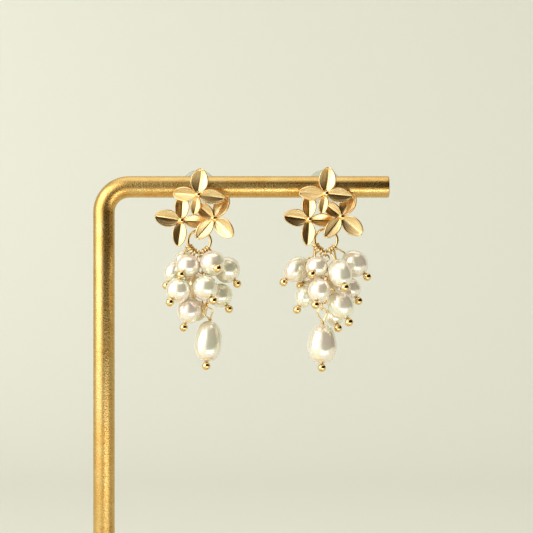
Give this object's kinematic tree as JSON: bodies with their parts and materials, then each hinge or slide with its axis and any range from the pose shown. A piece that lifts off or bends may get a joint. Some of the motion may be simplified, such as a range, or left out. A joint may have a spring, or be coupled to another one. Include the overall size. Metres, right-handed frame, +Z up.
{
  "type": "pair of pearl cluster drop earrings on a display stand",
  "caption": "Stud earrings with clustered flowers and grape-like drops of pearls on head pins under a jump ring, both hung from a plain gold display stand.",
  "frame": {"origin": "on the table, under the middle of the stand's base plate", "axes": "+Z up, +X along the stand's arm from its upright to its free end, -Y towards the viewer, where the flowers face"},
  "size_m": [0.08, 0.044, 0.1148],
  "materials": {
    "stand_gold": "gold-plated steel with a fine sand-blasted satin",
    "petal_gold": "satin gold-plated casting with fine chased lines",
    "wire_gold": "polished gold-plated wire",
    "pearl": "lustrous cream nacre of a freshwater pearl",
    "clear_silicone": "clear moulded silicone"
  },
  "bodies": {
    "root": {"stand_base": "stand_gold", "stand_tube": "stand_gold", "flower_left": "petal_gold", "ear_back_left": "clear_silicone", "flower_right": "petal_gold", "ear_back_right": "clear_silicone"},
    "ring_left": {"jump_ring_left": "wire_gold"},
    "drop_left": {"chain_left": "wire_gold", "pearl_long_left": "pearl", "headpin_long_left": "wire_gold", "pearl_left_1": "pearl", "pearl_left_2": "pearl", "pearl_left_3": "pearl", "pearl_left_4": "pearl", "pearl_left_5": "pearl", "pearl_left_6": "pearl", "pearl_left_7": "pearl", "pearl_left_8": "pearl", "pearl_left_9": "pearl", "pearl_left_10": "pearl", "pearl_left_11": "pearl", "headpin_left_1": "wire_gold", "headpin_left_2": "wire_gold", "headpin_left_3": "wire_gold", "headpin_left_4": "wire_gold", "headpin_left_5": "wire_gold", "headpin_left_6": "wire_gold", "headpin_left_7": "wire_gold", "headpin_left_8": "wire_gold", "headpin_left_9": "wire_gold", "headpin_left_10": "wire_gold", "headpin_left_11": "wire_gold"},
    "ring_right": {"jump_ring_right": "wire_gold"},
    "drop_right": {"chain_right": "wire_gold", "pearl_long_right": "pearl", "headpin_long_right": "wire_gold", "pearl_right_1": "pearl", "pearl_right_2": "pearl", "pearl_right_3": "pearl", "pearl_right_4": "pearl", "pearl_right_5": "pearl", "pearl_right_6": "pearl", "pearl_right_7": "pearl", "pearl_right_8": "pearl", "pearl_right_9": "pearl", "pearl_right_10": "pearl", "pearl_right_11": "pearl", "headpin_right_1": "wire_gold", "headpin_right_2": "wire_gold", "headpin_right_3": "wire_gold", "headpin_right_4": "wire_gold", "headpin_right_5": "wire_gold", "headpin_right_6": "wire_gold", "headpin_right_7": "wire_gold", "headpin_right_8": "wire_gold", "headpin_right_9": "wire_gold", "headpin_right_10": "wire_gold", "headpin_right_11": "wire_gold"}
  },
  "joints": [
    {"name": "left_swing", "type": "hinge", "parent": "root", "child": "ring_left", "pos_m": [-0.01, -0.0024, 0.09952], "axis": [1, 0, 0], "range_deg": [-35, 40]},
    {"name": "left_sway", "type": "hinge", "parent": "ring_left", "child": "drop_left", "pos_m": [-0.01, -0.0024, 0.0968], "axis": [0, 1, 0], "range_deg": [-20, 20]},
    {"name": "right_swing", "type": "hinge", "parent": "root", "child": "ring_right", "pos_m": [0.0204, -0.0024, 0.09982], "axis": [1, 0, 0], "range_deg": [-35, 40]},
    {"name": "right_sway", "type": "hinge", "parent": "ring_right", "child": "drop_right", "pos_m": [0.0204, -0.0024, 0.0971], "axis": [0, 1, 0], "range_deg": [-20, 20]}
  ]
}
